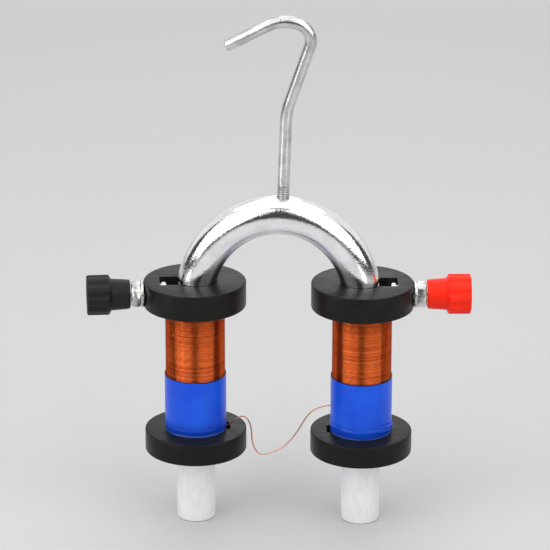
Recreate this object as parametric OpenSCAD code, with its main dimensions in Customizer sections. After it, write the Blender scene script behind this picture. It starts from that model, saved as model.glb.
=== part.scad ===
// Horseshoe electromagnet with two coils, screw terminals and a suspension hook.
// Millimetres. The origin lies midway between the pole faces, X runs from leg to leg and Z is up.

/* [Core] */
// Diameter of the steel bar that the core is bent from
bar_d = 16; // [13:0.5:18]
// Distance between the axes of the two legs
leg_spacing = 69.2; // [62:0.2:90]
// Height of the arch's centre line above the straight legs
arch_rise = 36.6; // [32:0.2:42]
// Bare length of each leg below its coil
pole_l = 31.1; // [29:0.1:50]
// Chamfer round each pole face
pole_chamfer = 0.8; // [0.2:0.1:2]

/* [Hook] */
// Diameter of the hook's rod
hook_d = 5; // [4:0.5:6]
// Sideways distance of the hook's hole from the middle of the crown
hook_offset = 1.8; // [-4:0.2:4]
// Lean of the hook's hole from upright, in degrees
hook_lean = 1.9; // [0:0.1:4]
// Depth of the hook's hole below the top of the crown
hook_hole_l = 11; // [8:0.5:14]
// Space left below the hook's end in its hole
hook_hole_room = 1; // [0.5:0.5:3]
// Radial clearance of the hook in its hole
hook_clear = 0.05; // [0.02:0.01:0.1]
// Straight shank of the hook above the crown
shank_l = 31.4; // [24:0.1:40]
// Bend radius where the shank leans away
sway_r = 30; // [20:1:40]
// Angle of that bend
sway_angle = 17; // [8:1:24]
// Straight length between the sway and the crook
slant_l = 24.1; // [18:0.1:32]
// Bend radius of the tight side of the crook
crook_r = 7; // [5:0.5:12]
// Angle of the tight side of the crook
crook_angle = 89; // [70:1:100]
// Bend radius of the wide side of the crook
brow_r = 16; // [10:0.5:24]
// Angle of the wide side of the crook
brow_angle = 47; // [30:1:60]
// Straight length at the hook's tip
tip_l = 18.5; // [10:0.5:26]

/* [Coil] */
// Wall of the former tube
former_wall = 1.6; // [1:0.1:2.4]
// Radial clearance between the former and its leg
former_clear = 0.2; // [0.1:0.05:0.5]
// Gap left for glue and varnish between fixed pieces
glue_gap = 0.05; // [0.02:0.01:0.1]
// Thickness of the lower flange
lower_flange_t = 9.3; // [7:0.1:14]
// Plastic below the former tube in the lower flange
lower_lip = 3.3; // [2:0.1:5]
// Depth that the former tube sits in the top flange
top_seat_l = 3; // [2:0.1:4]
// Reach of each flange past the winding
flange_overhang = 8.8; // [7:0.1:10]
// Chamfer on the edges of the flanges
flange_chamfer = 0.5; // [0.2:0.1:1]
// Width of the lead slot in the lower flange
slot_w = 7.4; // [5:0.1:9]
// Reach of the lead slot past the winding
slot_reach = 2; // [1:0.1:4]
// Angle that the left coil is turned on its leg, anticlockwise from above
left_coil_turn = 7; // [-10:0.5:10]
// Angle that the right coil is turned on its leg, anticlockwise from above
right_coil_turn = 3; // [-10:0.5:10]

/* [Winding] */
// Thickness of the winding on the former
winding_build = 2.6; // [2:0.1:4]
// Length of winding that is left bare
bare_l = 30; // [20:0.5:40]
// Length of winding that is taped over
tape_l = 24.6; // [18:0.1:34]
// Thickness of the tape
tape_t = 0.35; // [0.2:0.05:0.6]
// Height of the lapped band at the tape's lower edge
lap_l = 3.4; // [2:0.1:6]
// Extra thickness of the lapped band
lap_t = 0.15; // [0.05:0.05:0.3]
// Diameter of the winding's wire in its outer layer
wire_d = 0.7; // [0.5:0.05:0.9]
// Least gap between neighbouring turns of the outer layer
turn_gap = 0.42; // [0.42:0.01:0.8]
// Most turns in the outer layer
turns_max = 24; // [8:1:24]
// Diameter of the wire that links the two windings
link_d = 0.6; // [0.4:0.05:0.8]

/* [Terminal posts] */
// Plastic above and below the nut in the top flange
post_cover = 1.35; // [1:0.05:3]
// Width across flats of the nut
nut_af = 8; // [6.5:0.5:8.5]
// Thickness of the nut
nut_t = 2.2; // [1.6:0.1:3]
// Room beside the nut's corners in its pocket
nut_room = 0.4; // [0.3:0.1:1.2]
// Angle that the nut is turned from level flats
nut_turn = 12; // [0:1:15]
// Reach of the pocket past the winding
pocket_reach = 2.1; // [1.8:0.1:3]
// Thickness of the solder tag
tag_t = 0.5; // [0.3:0.1:0.8]
// Width of the solder tag's tail
tag_w = 3; // [2:0.1:4]
// Gap between the nut and the tag's tail
tag_gap = 0.25; // [0.1:0.05:0.4]
// Diameter of the stud's tail through the flange
tail_d = 5; // [4:0.5:5.5]
// Radial clearance round the stud's tail
tail_clear = 0.15; // [0.05:0.05:0.3]
// Length of the stud's tail past the nut
tail_show = 1.2; // [0.6:0.1:1.6]
// Diameter of the washer
washer_d = 11.2; // [9:0.2:13]
// Thickness of the washer
washer_t = 1.2; // [0.8:0.1:2]
// Width across flats of the stud's hexagon collar
collar_af = 9.4; // [8:0.1:11]
// Length of the collar
collar_l = 3.8; // [2.5:0.1:6]
// Upward tilt of the left collar's front flat
left_collar_tilt = 28; // [0:1:30]
// Upward tilt of the right collar's front flat
right_collar_tilt = 12; // [0:1:30]
// Bore of the plug socket in the stud
socket_d = 4.06; // [3.9:0.02:4.2]
// Wall of the stud round the socket
socket_wall = 0.97; // [0.7:0.01:1.5]
// Depth of the plug socket
socket_l = 13; // [9:0.5:14]
// Cross hole in the stud for a bare wire
cross_d = 2; // [1.2:0.1:2.2]
// Distance of the cross hole from the collar
cross_pos = 1.6; // [1.3:0.1:2]

/* [Terminal caps] */
// Gap between the closed cap and the collar
cap_gap = 0.4; // [0.3:0.05:1]
// Radial clearance of the sleeve on the stud
thread_clear = 0.08; // [0.03:0.01:0.1]
// Wall of the threaded sleeve in the cap
sleeve_wall = 1.4; // [1:0.1:2]
// Length of the threaded sleeve
sleeve_l = 14; // [10:0.5:15]
// Clearance between the sleeve and the cap
cap_fit = 0.05; // [0.02:0.01:0.1]
// Wall of the cap's neck where it meets the grip
neck_wall = 2.05; // [1.8:0.05:2.5]
// Amount that the neck narrows towards the collar
neck_taper = 0.75; // [0:0.05:0.8]
// Length of the cap's neck
neck_l = 8; // [6:0.5:11]
// Step from the neck up to the grip
grip_step = 1.7; // [1.2:0.1:3]
// Length of the cap's grip
grip_l = 10; // [8:0.5:13]
// Depth of the stud's end inside the cap
cap_recess = 1; // [0.5:0.1:2]
// Clearance round the stud in the cap's end
mouth_clear = 0.3; // [0.2:0.1:0.6]
// Chamfer at the cap's ends
cap_chamfer = 0.9; // [0.4:0.1:1.2]
// Number of flutes round the grip
flute_count = 10; // [6:1:12]
// Depth of the flutes
flute_depth = 0.65; // [0.3:0.05:0.9]
// Radius of the cutter that makes the flutes
flute_r = 3; // [2:0.1:4]
// Angle that the flutes are turned through from straight down
flute_turn = 34; // [0:1:36]

/* [Hidden] */
$fn = 64;
// Overshoot of the cutting solids
cut = 1;

// Colours
plated = [0.82, 0.83, 0.85];
copper = [0.72, 0.33, 0.12];
tape_blue = [0.06, 0.14, 0.80];
black_plastic = [0.07, 0.07, 0.08];
red_plastic = [0.85, 0.08, 0.07];
brass = [0.76, 0.62, 0.30];
former_grey = [0.30, 0.29, 0.27];

// Radii round a leg, from the bar outwards
bar_r = bar_d / 2;
leg_x = leg_spacing / 2;
bore_r = bar_r + former_clear;
former_r = bore_r + former_wall;
winding_r = former_r + winding_build;
flange_r = winding_r + flange_overhang;

// Heights of the coil's pieces, from the pole face upwards
former_z = pole_l + lower_lip;
tape_z = pole_l + lower_flange_t;
bare_z = tape_z + tape_l;
top_flange_z = bare_z + bare_l;
top_flange_t = nut_af + 2 * post_cover;
coil_top_z = top_flange_z + top_flange_t;
// Height of the posts' axes
post_z = top_flange_z + top_flange_t / 2;

// The legs are straight as far as the former tube reaches
leg_h = top_flange_z + top_seat_l;

// Three-centred arch: two haunch arcs and a crown arc that share their tangents.
// The haunches turn through the wide angle of a 3-4-5 triangle, so the radii come out round.
haunch_angle = atan2(4, 3);
arch_ease = 3 / 2 * (arch_rise - leg_x);
haunch_r = leg_x + arch_ease;
crown_up = 4 / 3 * arch_ease;
crown_r = haunch_r - 5 / 3 * arch_ease;
crown_top_z = leg_h + arch_rise + bar_r;

// Room in the top flange for the start of the bend
bend_in_r = haunch_r - bar_r;
bend_up = coil_top_z - leg_h;
bend_relief = bend_in_r - sqrt(bend_in_r * bend_in_r - bend_up * bend_up);

// Runs of the hook from its end in the hole: bend radius and angle, or 0 and a straight length
hook_runs = [
    [0, hook_hole_l - hook_hole_room + shank_l],
    [sway_r, sway_angle],
    [0, slant_l],
    [crook_r, -crook_angle],
    [brow_r, -brow_angle],
    [0, tip_l]
];

// Hair-thin land over each join of two runs, which bridges the short straight between them
land_l = 0.2;
land_t = 0.02;

// Distances along the post from the leg's axis
pocket_end = winding_r + pocket_reach;
pocket_w = nut_af / cos(30) + 2 * nut_room;
nut_start = pocket_end - tag_t - nut_t;
tail_start = nut_start - tail_show;
washer_start = flange_r + glue_gap;
collar_start = washer_start + washer_t;
collar_end = collar_start + collar_l;
cap_start = collar_end + cap_gap;
neck_end = cap_start + neck_l;
cap_end = neck_end + grip_l;
sleeve_end = cap_start + sleeve_l;
shaft_end = cap_end - cap_recess;

// Radii round the post
shaft_r = socket_d / 2 + socket_wall;
sleeve_r = shaft_r + thread_clear + sleeve_wall;
neck_r = sleeve_r + cap_fit + neck_wall;
grip_r = neck_r + grip_step;
tail_hole_r = tail_d / 2 + tail_clear;

// Height of the solder tag's tail, under the nut's lowest corner
nut_drop = nut_af / 2 * cos(30 - nut_turn) / cos(30);
tag_z = post_z - nut_drop - tag_gap - tag_t;

// Outer layer of the winding: one tube that stands on the taped turns and ends at the tag
turn_rings = 15;
turn_sides = 6;
turn_r = winding_r - wire_d / 2;
elbow_r = wire_d;
turns_z = bare_z + wire_d + elbow_r;
turns_top_z = min(top_flange_z - wire_d / 2 - glue_gap, tag_z - wire_d - elbow_r);
turns_l = turns_top_z - turns_z;
turns = min(turns_max, floor(turns_l / (wire_d + turn_gap)));
core_winding_r = turn_r * cos(180 / turn_rings) - wire_d / 2 - glue_gap;

// Stations of that tube on the unrolled cylinder: distance round it, height and heading
turn_girth = 2 * PI * turn_r;
turn_end = turns * turn_girth + 2 * elbow_r;
helix_angle = atan(turns_l / (turns * turn_girth));
elbow_headings = [90, 60, 30];
turn_stations = concat(
    [[0, bare_z, 90]],
    [for (h = elbow_headings) [elbow_r * (1 - sin(h)), bare_z + wire_d + elbow_r * cos(h), h]],
    [for (i = [0 : turns * turn_rings])
        [elbow_r + i * turn_girth / turn_rings, turns_z + i * turns_l / (turns * turn_rings), helix_angle]],
    [for (i = [len(elbow_headings) - 1 : -1 : 0])
        let (h = elbow_headings[i])
        [turn_end - elbow_r * (1 - sin(h)), turns_top_z + elbow_r * (1 - cos(h)), h]],
    [[turn_end, tag_z, 90]]
);
function turn_at(s) = 360 * (s[0] - turn_end) / turn_girth;
function turn_point(s) = [turn_r * cos(turn_at(s)), turn_r * sin(turn_at(s)), s[1]];
function turn_normal(s) = [cos(turn_at(s)), sin(turn_at(s)), 0];
function turn_tangent(s) = [-sin(turn_at(s)) * cos(s[2]), cos(turn_at(s)) * cos(s[2]), sin(s[2])];

// Least gap of the tube to itself, measured between points at least half a turn apart
turn_points = [for (s = turn_stations) turn_point(s)];
half_turn = floor(turn_rings / 2);
turn_last = len(turn_points) - 1;
least_gap = min([for (i = [0 : turn_last - half_turn], j = [i + half_turn : turn_last])
    norm(turn_points[i] - turn_points[j])]) - wire_d;
echo(str("Turns in each outer layer: ", turns, ", least gap ", least_gap, " mm"));

// Route of the link wire, from the left winding to the right one
link_route = [
    [-21.6, 0, 41.2], [-20, 0, 42], [-18, 0, 43.6], [-16, 0, 45], [-14.8, 0, 45.3], [-13.3, 0, 44.5],
    [-12, 0, 42.2], [-11.3, 0, 39], [-11.1, 0, 36], [-10.6, 0, 32.7], [-9.2, 0, 29.6], [-7, 0, 28.2],
    [-4.3, 0, 28.6], [-1.4, 0, 29.6], [1.6, 0, 31.3], [4.9, 0, 34.5], [7.8, 0, 38.4], [10.3, 0, 42.8],
    [12, 0, 45.7], [14, 0, 47.9], [16.6, 0, 49.4], [19.5, 0, 50.5], [21.8, 0, 50.9]
];
link_sides = 8;
link_last = len(link_route) - 1;
function route_point(i) = link_route[min(max(i, 0), link_last)];
// Point halfway along the smooth curve from one route point to the next
function route_middle(i) = (9 * (route_point(i) + route_point(i + 1))
    - route_point(i - 1) - route_point(i + 2)) / 16;
link_points = [for (k = [0 : 2 * link_last]) k % 2 == 0 ? route_point(k / 2) : route_middle((k - 1) / 2)];
// The ends leave square to the windings, along X
link_tangents = [for (k = [0 : 2 * link_last])
    k == 0 || k == 2 * link_last ? [1, 0, 0] : unit(link_points[k + 1] - link_points[k - 1])];
link_normals = [for (p = link_points) [0, 1, 0]];

function unit(v) = v / norm(v);

// Closed tube of triangles through a list of points, each with its tangent and a normal
module swept_tube(points, tangents, normals, d, sides) {
    rings = len(points);
    vertices = [for (i = [0 : rings - 1], j = [0 : sides - 1])
        let (a = 360 * j / sides)
        points[i] + d / 2 * (cos(a) * normals[i] + sin(a) * cross(tangents[i], normals[i]))];
    walls = [for (i = [0 : rings - 2], j = [0 : sides - 1], half = [0, 1])
        let (k = (j + 1) % sides, low = i * sides, high = low + sides)
        half == 0 ? [low + j, high + j, high + k] : [low + j, high + k, low + k]];
    start_cap = [for (j = [1 : sides - 2]) [0, j, j + 1]];
    last = (rings - 1) * sides;
    end_cap = [for (j = [1 : sides - 2]) [last, last + j + 1, last + j]];
    polyhedron(points = vertices, faces = concat(walls, start_cap, end_cap));
}

// Arc of round bar in the XZ plane about the origin
module bar_arc(r, from, to) {
    rotate([90, 0, 0])
        rotate_extrude(angle = to - from, start = from)
            translate([r, 0])
                circle(r = bar_r);
}

// Round rod that follows a list of runs from the origin, starting up Z and bending in XZ
module rod_runs(runs, d, i = 0) {
    r = runs[i][0];
    straight = r == 0 ? runs[i][1] : 0;
    angle = r == 0 ? 0 : runs[i][1];
    side = angle < 0 ? -1 : 1;
    if (r == 0)
        cylinder(d = d, h = straight);
    else
        translate([side * r, 0, 0])
            rotate([90, 0, 0])
                rotate_extrude(angle = abs(angle), start = side > 0 ? 180 - angle : 0)
                    translate([r, 0])
                        circle(d = d);
    if (i < len(runs) - 1)
        translate([side * r, 0, 0])
            rotate([0, angle, 0])
                translate([-side * r, 0, straight]) {
                    translate([0, 0, -land_l])
                        cylinder(d = d + 2 * land_t, h = 3 * land_l);
                    translate([0, 0, land_l])
                        rod_runs(runs, d, i + 1);
                }
}

// Places its children on the axis of the right leg, turned about it
module at_leg(turn = 0, z = 0) {
    translate([leg_x, 0, z])
        rotate([0, 0, turn])
            children();
}

// Places its children on the right post, with Z outwards along the post from the leg's axis
module at_post(turn, from = 0) {
    at_leg(turn, post_z)
        translate([from, 0, 0])
            rotate([0, 90, 0])
                children();
}

module at_left() {
    mirror([1, 0, 0])
        children();
}

// Places its children at the hook's hole, with Z along the hook and its origin on top of the crown
module at_hook() {
    translate([hook_offset, 0, crown_top_z])
        rotate([0, hook_lean, 0])
            children();
}

module ring(outer_r, inner_r, h) {
    difference() {
        cylinder(r = outer_r, h = h);
        translate([0, 0, -cut])
            cylinder(r = inner_r, h = h + 2 * cut);
    }
}

module hexagon(af, h) {
    cylinder(d = af / cos(30), h = h, $fn = 6);
}

// Solid disc with both edges chamfered
module flange_disc(t) {
    rotate_extrude()
        polygon([
            [0, 0],
            [flange_r - flange_chamfer, 0],
            [flange_r, flange_chamfer],
            [flange_r, t - flange_chamfer],
            [flange_r - flange_chamfer, t],
            [0, t]
        ]);
}

module core_leg() {
    at_leg() {
        cylinder(r1 = bar_r - pole_chamfer, r2 = bar_r, h = pole_chamfer);
        translate([0, 0, pole_chamfer])
            cylinder(r = bar_r, h = leg_h - pole_chamfer);
    }
    translate([-arch_ease, 0, leg_h])
        bar_arc(haunch_r, 0, haunch_angle);
}

module horseshoe_core() {
    color(plated)
        difference() {
            union() {
                core_leg();
                at_left()
                    core_leg();
                translate([0, 0, leg_h + crown_up])
                    bar_arc(crown_r, haunch_angle, 180 - haunch_angle);
            }
            at_hook()
                translate([0, 0, -hook_hole_l])
                    cylinder(d = hook_d + 2 * hook_clear, h = hook_hole_l + bar_r);
        }
}

module suspension_hook() {
    color(plated)
        at_hook()
            translate([0, 0, hook_hole_room - hook_hole_l])
                rod_runs(hook_runs, hook_d);
}

module link_wire() {
    color(copper)
        swept_tube(link_points, link_tangents, link_normals, link_d, link_sides);
}

module former_tube(turn) {
    color(former_grey)
        at_leg(turn, former_z)
            ring(former_r, bore_r, leg_h - former_z);
}

module lower_flange(turn) {
    color(black_plastic)
        at_leg(turn, pole_l)
            difference() {
                flange_disc(lower_flange_t);
                translate([0, 0, -cut])
                    cylinder(r = bore_r, h = lower_flange_t + 2 * cut);
                translate([0, 0, lower_lip])
                    cylinder(r = former_r + glue_gap, h = lower_flange_t);
                translate([-winding_r - slot_reach, -slot_w / 2, -cut])
                    cube([winding_r + slot_reach, slot_w, lower_flange_t + 2 * cut]);
            }
}

// The bore is eased towards the arch, however the coil is turned
module top_flange(turn) {
    color(black_plastic)
        difference() {
            at_leg(turn, top_flange_z)
                flange_disc(top_flange_t);
            at_leg(turn, top_flange_z - cut)
                cylinder(r = former_r + glue_gap, h = top_seat_l + cut);
            for (shift = [0, bend_relief])
                at_leg(0, top_flange_z)
                    translate([-shift, 0, 0])
                        cylinder(r = bore_r, h = top_flange_t + cut);
            at_leg(turn, top_flange_z - cut)
                translate([0, -pocket_w / 2, 0])
                    cube([pocket_end, pocket_w, top_flange_t + 2 * cut]);
            at_post(turn, pocket_end - cut)
                cylinder(r = tail_hole_r, h = flange_r - pocket_end + 2 * cut);
        }
}

// Inner layers, stepped down where the outer layer of turns lies on them
module winding(turn) {
    color(copper)
        at_leg(turn)
            rotate_extrude()
                polygon([
                    [former_r + glue_gap, tape_z],
                    [winding_r, tape_z],
                    [winding_r, bare_z],
                    [core_winding_r, bare_z],
                    [core_winding_r, top_flange_z],
                    [former_r + glue_gap, top_flange_z]
                ]);
}

module winding_outer_layer(turn) {
    tangents = [for (s = turn_stations) turn_tangent(s)];
    normals = [for (s = turn_stations) turn_normal(s)];
    color(copper)
        at_leg(turn)
            swept_tube(turn_points, tangents, normals, wire_d, turn_sides);
}

module tape(turn) {
    color(tape_blue)
        at_leg(turn)
            rotate_extrude()
                polygon([
                    [winding_r + glue_gap, tape_z],
                    [winding_r + tape_t + lap_t, tape_z],
                    [winding_r + tape_t + lap_t, tape_z + lap_l],
                    [winding_r + tape_t, tape_z + lap_l + lap_t],
                    [winding_r + tape_t, bare_z],
                    [winding_r + glue_gap, bare_z]
                ]);
}

module post_stud(turn, collar_tilt) {
    color(plated)
        difference() {
            union() {
                at_post(turn, tail_start)
                    cylinder(d = tail_d, h = collar_start - tail_start);
                at_post(turn, collar_start)
                    rotate([0, 0, -collar_tilt])
                        hexagon(collar_af, collar_l);
                at_post(turn, collar_end)
                    cylinder(r = shaft_r, h = shaft_end - collar_end);
            }
            at_post(turn, shaft_end - socket_l)
                cylinder(d = socket_d, h = socket_l + cut);
            at_post(turn, collar_end + cross_pos)
                rotate([0, 90, 0])
                    cylinder(d = cross_d, h = 2 * (shaft_r + cut), center = true);
        }
}

module post_washer(turn) {
    color(plated)
        at_post(turn, washer_start)
            ring(washer_d / 2, tail_hole_r, washer_t);
}

module post_nut(turn) {
    color(plated)
        at_post(turn, nut_start)
            difference() {
                rotate([0, 0, nut_turn - 30])
                    hexagon(nut_af, nut_t);
                translate([0, 0, -cut])
                    cylinder(r = tail_d / 2 + glue_gap, h = nut_t + 2 * cut);
            }
}

// Ring under the nut with a tail that is bent in below it, for the end of the winding
module solder_tag(turn) {
    tail_in = turn_r - wire_d;
    color(brass)
        difference() {
            union() {
                at_post(turn, pocket_end - tag_t)
                    cylinder(d = nut_af, h = tag_t);
                at_leg(turn, tag_z)
                    translate([pocket_end - tag_t, -tag_w / 2, 0])
                        cube([tag_t, tag_w, post_z - tag_z]);
                at_leg(turn, tag_z)
                    translate([tail_in, -tag_w / 2, 0])
                        cube([pocket_end - tail_in, tag_w, tag_t]);
            }
            at_post(turn, pocket_end - tag_t - cut)
                cylinder(r = tail_hole_r, h = tag_t + 2 * cut);
        }
}

module cap_sleeve(turn) {
    color(brass)
        at_post(turn, cap_start)
            ring(sleeve_r, shaft_r + thread_clear, sleeve_l - cap_fit);
}

module post_cap(turn, colour) {
    color(colour)
        at_post(turn)
            difference() {
                rotate_extrude()
                    polygon([
                        [sleeve_r + cap_fit, cap_start],
                        [neck_r - neck_taper - cap_chamfer, cap_start],
                        [neck_r - neck_taper, cap_start + cap_chamfer],
                        [neck_r, neck_end],
                        [grip_r, neck_end + cap_chamfer],
                        [grip_r, cap_end - cap_chamfer],
                        [grip_r - cap_chamfer, cap_end],
                        [shaft_r + mouth_clear, cap_end],
                        [shaft_r + mouth_clear, sleeve_end],
                        [sleeve_r + cap_fit, sleeve_end]
                    ]);
                for (i = [0 : flute_count - 1])
                    rotate([0, 0, flute_turn + i * 360 / flute_count])
                        translate([grip_r + flute_r - flute_depth, 0, neck_end])
                            cylinder(r = flute_r, h = grip_l + cut);
            }
}

module right_former_tube() former_tube(right_coil_turn);
module right_top_flange() top_flange(right_coil_turn);
module right_lower_flange() lower_flange(right_coil_turn);
module right_winding() winding(right_coil_turn);
module right_winding_outer_layer() winding_outer_layer(right_coil_turn);
module right_tape() tape(right_coil_turn);
module right_post_stud() post_stud(right_coil_turn, right_collar_tilt);
module right_post_washer() post_washer(right_coil_turn);
module right_post_nut() post_nut(right_coil_turn);
module right_solder_tag() solder_tag(right_coil_turn);
module right_cap_sleeve() cap_sleeve(right_coil_turn);
module right_post_cap() post_cap(right_coil_turn, red_plastic);

// Mirroring turns a left coil the other way
module left_former_tube() at_left() former_tube(-left_coil_turn);
module left_top_flange() at_left() top_flange(-left_coil_turn);
module left_lower_flange() at_left() lower_flange(-left_coil_turn);
module left_winding() at_left() winding(-left_coil_turn);
module left_winding_outer_layer() at_left() winding_outer_layer(-left_coil_turn);
module left_tape() at_left() tape(-left_coil_turn);
module left_post_stud() at_left() post_stud(-left_coil_turn, left_collar_tilt);
module left_post_washer() at_left() post_washer(-left_coil_turn);
module left_post_nut() at_left() post_nut(-left_coil_turn);
module left_solder_tag() at_left() solder_tag(-left_coil_turn);
module left_cap_sleeve() at_left() cap_sleeve(-left_coil_turn);
module left_post_cap() at_left() post_cap(-left_coil_turn, black_plastic);

horseshoe_core();
suspension_hook();
link_wire();
left_former_tube();
left_top_flange();
left_lower_flange();
left_winding();
left_winding_outer_layer();
left_tape();
left_post_stud();
left_post_washer();
left_post_nut();
left_solder_tag();
left_cap_sleeve();
left_post_cap();
right_former_tube();
right_top_flange();
right_lower_flange();
right_winding();
right_winding_outer_layer();
right_tape();
right_post_stud();
right_post_washer();
right_post_nut();
right_solder_tag();
right_cap_sleeve();
right_post_cap();
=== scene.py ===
import math

import bmesh
import bpy
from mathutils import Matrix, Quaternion, Vector, noise


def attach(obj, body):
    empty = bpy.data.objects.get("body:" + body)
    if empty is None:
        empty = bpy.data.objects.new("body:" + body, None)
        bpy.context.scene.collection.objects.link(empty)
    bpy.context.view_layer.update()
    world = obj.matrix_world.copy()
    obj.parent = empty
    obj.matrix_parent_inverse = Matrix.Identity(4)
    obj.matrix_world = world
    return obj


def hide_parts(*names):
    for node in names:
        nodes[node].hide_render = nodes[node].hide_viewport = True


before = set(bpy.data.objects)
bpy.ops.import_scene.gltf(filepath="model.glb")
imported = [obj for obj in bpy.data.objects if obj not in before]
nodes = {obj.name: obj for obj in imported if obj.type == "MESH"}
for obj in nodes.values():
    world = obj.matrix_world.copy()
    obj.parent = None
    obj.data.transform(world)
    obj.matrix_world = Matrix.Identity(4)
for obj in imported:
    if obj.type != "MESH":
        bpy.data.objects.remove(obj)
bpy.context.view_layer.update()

mm = 0.001
near, hair = 1e-6, 1e-7       # metres: as good as level, and as good as the same spot


# Camera, fitted to the photograph's frame

view = {
    "aim": (0, 0, 0.108345),
    "distance": 1.266015,
    "azimuth": 1.776,         # degrees round to the right
    "elevation": 19.887,
    "roll": 0.12,
    "lens": 201.28,
    "sensor": 36,
    "shift": -0.0066,
    "clip": (0.05, 60),
}


def outward(azimuth, elevation):          # unit vector, in degrees round from the front and up
    turn, lift = math.radians(azimuth), math.radians(elevation)
    return Vector((math.sin(turn) * math.cos(lift), -math.cos(turn) * math.cos(lift), math.sin(lift)))


def addCamera():
    back = outward(view["azimuth"], view["elevation"])
    bpy.ops.object.camera_add(location=Vector(view["aim"]) + back * view["distance"])
    camera = bpy.context.active_object
    roll = Quaternion((0, 0, 1), math.radians(view["roll"]))
    camera.rotation_euler = ((-back).to_track_quat("-Z", "Y") @ roll).to_euler()
    camera.data.sensor_width = view["sensor"]
    camera.data.lens = view["lens"]
    camera.data.shift_x = view["shift"]
    camera.data.clip_start, camera.data.clip_end = view["clip"]
    bpy.context.scene.camera = camera


# Shader sums are written with these two

class Link:                   # a node's output that can be added, multiplied and so on
    def __init__(self, finish, socket):
        self.finish, self.socket = finish, socket

    def sums(self, operation, *terms):
        return self.finish.add("ShaderNodeMath", {"operation": operation}, dict(enumerate(terms)))

    def __add__(self, other):
        return self.sums("ADD", self, other)

    def __radd__(self, other):
        return self.sums("ADD", other, self)

    def __sub__(self, other):
        return self.sums("SUBTRACT", self, other)

    def __rsub__(self, other):
        return self.sums("SUBTRACT", other, self)

    def __mul__(self, other):
        return self.sums("MULTIPLY", self, other)

    def __rmul__(self, other):
        return self.sums("MULTIPLY", other, self)


class Finish:                 # a material while its nodes are put together
    def __init__(self, name):
        self.material = bpy.data.materials.new(name)
        self.material.use_nodes = True
        self.tree = self.material.node_tree
        self.shader = next(n for n in self.tree.nodes if n.type == "BSDF_PRINCIPLED")

    def add(self, kind, settings=None, links=None, out=0):   # any node
        node = self.tree.nodes.new(kind)
        for key, value in (settings or {}).items():
            setattr(node, key, value)
        self.fill(node, links or {})
        return Link(self, node.outputs[out])

    def fill(self, node, links):
        for key, value in links.items():
            if isinstance(value, Link):
                self.tree.links.new(value.socket, node.inputs[key])
            else:
                node.inputs[key].default_value = value

    def place(self, turn=(0, 0, 0), scale=(1, 1, 1), shift=(0, 0, 0)):
        spot = self.add("ShaderNodeTexCoord", out="Object")
        links = {0: spot, "Location": shift, "Rotation": turn, "Scale": scale}
        return self.add("ShaderNodeMapping", links=links)

    def height(self, place):
        return self.add("ShaderNodeSeparateXYZ", links={0: place}, out="Z")

    def reach(self, place):                                  # distance from the origin
        return self.add("ShaderNodeVectorMath", {"operation": "LENGTH"}, {0: place}, "Value")

    def cloud(self, place, size, detail):                    # noise whose blots are about size metres
        links = {"Vector": place, "Scale": 1 / size, "Detail": detail}
        return self.add("ShaderNodeTexNoise", links=links, out="Fac")

    def dots(self, place, perMetre, inner, outer):           # small round spots, 1 at their middles
        links = {"Vector": place, "Scale": perMetre}
        away = self.add("ShaderNodeTexVoronoi", {"feature": "F1"}, links, "Distance")
        return 1 - self.between(away, inner, outer)

    def between(self, value, low, high):                     # 0 below low, 1 above high
        links = {0: value, 1: low, 2: high}
        return self.add("ShaderNodeMapRange", {"interpolation_type": "SMOOTHSTEP"}, links)

    def mix(self, share, first, second):                     # two colours
        return self.add("ShaderNodeMix", {"data_type": "RGBA"}, {0: share, 6: first, 7: second}, 2)

    def bump(self, height, depth, strength=1.0):
        return self.add("ShaderNodeBump", links={"Strength": strength, "Distance": depth, "Height": height})

    def finish(self, **links):
        names = {"colour": "Base Color", "rough": "Roughness", "metal": "Metallic", "normal": "Normal",
                 "coat": "Coat Weight", "coatRough": "Coat Roughness", "gloss": "Specular IOR Level",
                 "edge": "Specular Tint", "glow": "Emission Color", "glowStrength": "Emission Strength"}
        self.fill(self.shader, {names[key]: value for key, value in links.items()})
        return self.material


def opaque(tint, share=1):    # a colour for a socket, lighter or darker by a share
    return (*(share * c for c in tint), 1)


# Modelling helpers

def only(*pieces):            # leaves just these selected, the last one active
    if bpy.context.mode != "OBJECT":
        bpy.ops.object.mode_set(mode="OBJECT")
    bpy.ops.object.select_all(action="DESELECT")
    for piece in pieces:
        piece.select_set(True)
    if pieces:
        bpy.context.view_layer.objects.active = pieces[-1]


def settle(name):             # names what was just added and puts its place into its mesh
    piece = bpy.context.active_object
    piece.name = piece.data.name = name
    bpy.ops.object.transform_apply(location=True, rotation=True, scale=True)
    return piece


def edit(piece):
    only(piece)
    bpy.ops.object.mode_set(mode="EDIT")
    bpy.ops.mesh.select_all(action="SELECT")


def pickEdges(test):          # in edit mode, selects edges with both ends in the right place
    bpy.context.tool_settings.mesh_select_mode = (False, True, False)
    bpy.ops.mesh.select_all(action="DESELECT")
    mesh = bmesh.from_edit_mesh(bpy.context.edit_object.data)
    for edge in mesh.edges:
        if all(test(corner.co) for corner in edge.verts):
            edge.select_set(True)
    bmesh.update_edit_mesh(bpy.context.edit_object.data)


def atHeight(height):         # a test for pickEdges
    return lambda co: abs(co.z - height) < near


def smooth(piece, angle):
    only(piece)
    bpy.ops.object.shade_smooth_by_angle(angle=math.radians(angle))
    return piece


def close(piece, angle=30):   # merges doubles, turns faces outwards and smooths up to an angle
    edit(piece)
    bpy.ops.mesh.remove_doubles(threshold=hair)
    bpy.ops.mesh.normals_make_consistent(inside=False)
    return smooth(piece, angle)


def extrude(move):
    bpy.ops.mesh.extrude_region_move(TRANSFORM_OT_translate={"value": move})


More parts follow.
